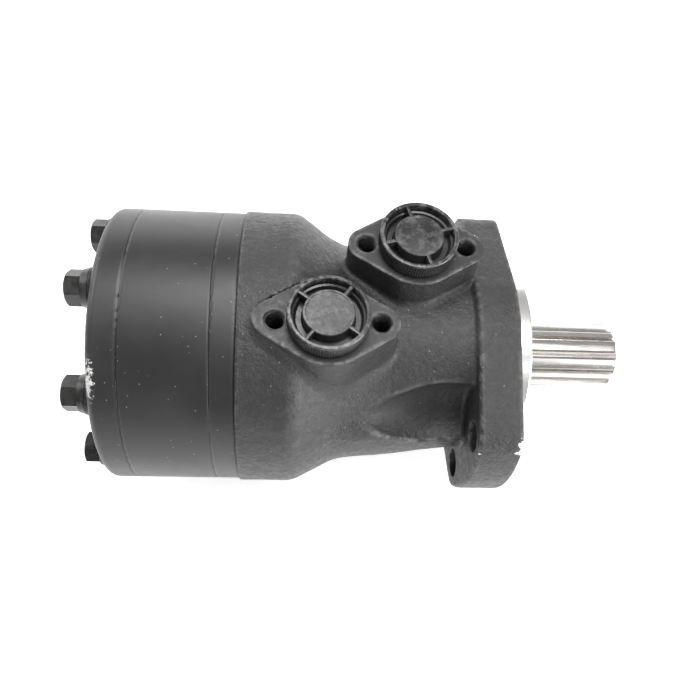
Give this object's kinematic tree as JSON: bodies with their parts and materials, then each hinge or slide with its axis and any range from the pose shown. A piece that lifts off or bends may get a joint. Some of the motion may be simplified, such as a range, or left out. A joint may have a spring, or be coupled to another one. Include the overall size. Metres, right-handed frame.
{
  "type": "hydraulic motor",
  "caption": "Orbital hydraulic motor: round gear section behind a cast housing with two side ports, an oval mounting flange and a splined output shaft.",
  "frame": {"origin": "where the shaft axis meets the mounting flange's front face", "axes": "+X along the output shaft, away from the motor; +Z towards the side with the two ports; the long axis of the flange is Y"},
  "size_m": [0.2426, 0.1292, 0.131],
  "materials": {
    "cast_paint": "semi-gloss black paint over a sand-cast skin",
    "section_paint": "semi-gloss black paint over turned steel",
    "black_steel": "black oxide",
    "shaft_steel": "ground bright steel",
    "gear_steel": "ground and hardened",
    "bearing_steel": "polished",
    "seal_rubber": "matt",
    "plug_plastic": "moulded, slightly glossy",
    "ptfe": "smooth",
    "brass": "bare"
  },
  "bodies": {
    "housing": {"housing": "cast_paint", "distributor_plate": "section_paint", "ring_gear": "section_paint", "end_cap": "section_paint", "end_cap_bolts": "black_steel", "bolt_washers": "black_steel", "housing_seal": "seal_rubber", "plate_seal": "seal_rubber", "end_cap_seal": "seal_rubber", "shaft_seal": "seal_rubber", "garter_spring": "bearing_steel", "seal_backup_ring": "ptfe", "dust_seal": "seal_rubber", "thrust_race_front": "bearing_steel", "drain_plug": "bearing_steel", "drain_washer": "brass"},
    "output_shaft": {"output_shaft": "shaft_steel", "thrust_race_rear": "bearing_steel"},
    "needle_cage": {"needle_cage": "brass", "thrust_needles": "bearing_steel"},
    "link_spacer": {"link_spacer": "gear_steel"},
    "rotor": {"rotor": "gear_steel"},
    "drive_link": {"drive_link": "gear_steel"},
    "roller_1": {"roller_1": "gear_steel"},
    "roller_2": {"roller_2": "gear_steel"},
    "roller_3": {"roller_3": "gear_steel"},
    "roller_4": {"roller_4": "gear_steel"},
    "roller_5": {"roller_5": "gear_steel"},
    "roller_6": {"roller_6": "gear_steel"},
    "roller_7": {"roller_7": "gear_steel"},
    "port_plug_a": {"port_plug_a": "plug_plastic", "plug_seal_a": "seal_rubber"},
    "port_plug_b": {"port_plug_b": "plug_plastic", "plug_seal_b": "seal_rubber"},
    "check_ball_a": {"check_ball_a": "bearing_steel"},
    "check_ball_b": {"check_ball_b": "bearing_steel"}
  },
  "joints": [
    {"name": "shaft_spin", "type": "hinge", "parent": "housing", "child": "output_shaft", "pos_m": [0, 0, 0], "axis": [1, 0, 0], "continuous": true},
    {"name": "cage_spin", "type": "hinge", "parent": "housing", "child": "needle_cage", "pos_m": [-0.021, 0, 0], "axis": [1, 0, 0], "continuous": true},
    {"name": "rotor_orbit", "type": "hinge", "parent": "housing", "child": "link_spacer", "pos_m": [-0.14475, 0, 0], "axis": [1, 0, 0], "continuous": true},
    {"name": "rotor_spin", "type": "hinge", "parent": "link_spacer", "child": "rotor", "pos_m": [-0.14475, 0, -0.0037], "axis": [1, 0, 0], "continuous": true},
    {"name": "link_spin", "type": "hinge", "parent": "link_spacer", "child": "drive_link", "pos_m": [-0.042, 0, 0], "axis": [0.9994, 0, 0.036], "continuous": true},
    {"name": "roller_1_spin", "type": "hinge", "parent": "housing", "child": "roller_1", "pos_m": [-0.14475, -0.01671, 0.03469], "axis": [1, 0, 0], "continuous": true},
    {"name": "roller_2_spin", "type": "hinge", "parent": "housing", "child": "roller_2", "pos_m": [-0.14475, -0.03753, 0.00857], "axis": [1, 0, 0], "continuous": true},
    {"name": "roller_3_spin", "type": "hinge", "parent": "housing", "child": "roller_3", "pos_m": [-0.14475, -0.0301, -0.024], "axis": [1, 0, 0], "continuous": true},
    {"name": "roller_4_spin", "type": "hinge", "parent": "housing", "child": "roller_4", "pos_m": [-0.14475, 0, -0.0385], "axis": [1, 0, 0], "continuous": true},
    {"name": "roller_5_spin", "type": "hinge", "parent": "housing", "child": "roller_5", "pos_m": [-0.14475, 0.0301, -0.024], "axis": [1, 0, 0], "continuous": true},
    {"name": "roller_6_spin", "type": "hinge", "parent": "housing", "child": "roller_6", "pos_m": [-0.14475, 0.03753, 0.00857], "axis": [1, 0, 0], "continuous": true},
    {"name": "roller_7_spin", "type": "hinge", "parent": "housing", "child": "roller_7", "pos_m": [-0.14475, 0.01671, 0.03469], "axis": [1, 0, 0], "continuous": true},
    {"name": "plug_a_lift", "type": "slide", "parent": "housing", "child": "port_plug_a", "axis": [0, 0, 1], "range_m": [0, 0.022]},
    {"name": "plug_b_lift", "type": "slide", "parent": "housing", "child": "port_plug_b", "axis": [0, 0, 1], "range_m": [0, 0.022]},
    {"name": "check_a_lift", "type": "slide", "parent": "housing", "child": "check_ball_a", "axis": [-1, 0, 0], "range_m": [0, 0.0025]},
    {"name": "check_b_lift", "type": "slide", "parent": "housing", "child": "check_ball_b", "axis": [-1, 0, 0], "range_m": [0, 0.0025]}
  ],
  "couplings": [
    {"joint": "cage_spin", "follows": "shaft_spin", "ratio": 0.5},
    {"joint": "rotor_orbit", "follows": "shaft_spin", "ratio": -6},
    {"joint": "rotor_spin", "follows": "shaft_spin", "ratio": 7},
    {"joint": "link_spin", "follows": "shaft_spin", "ratio": 7}
  ]
}
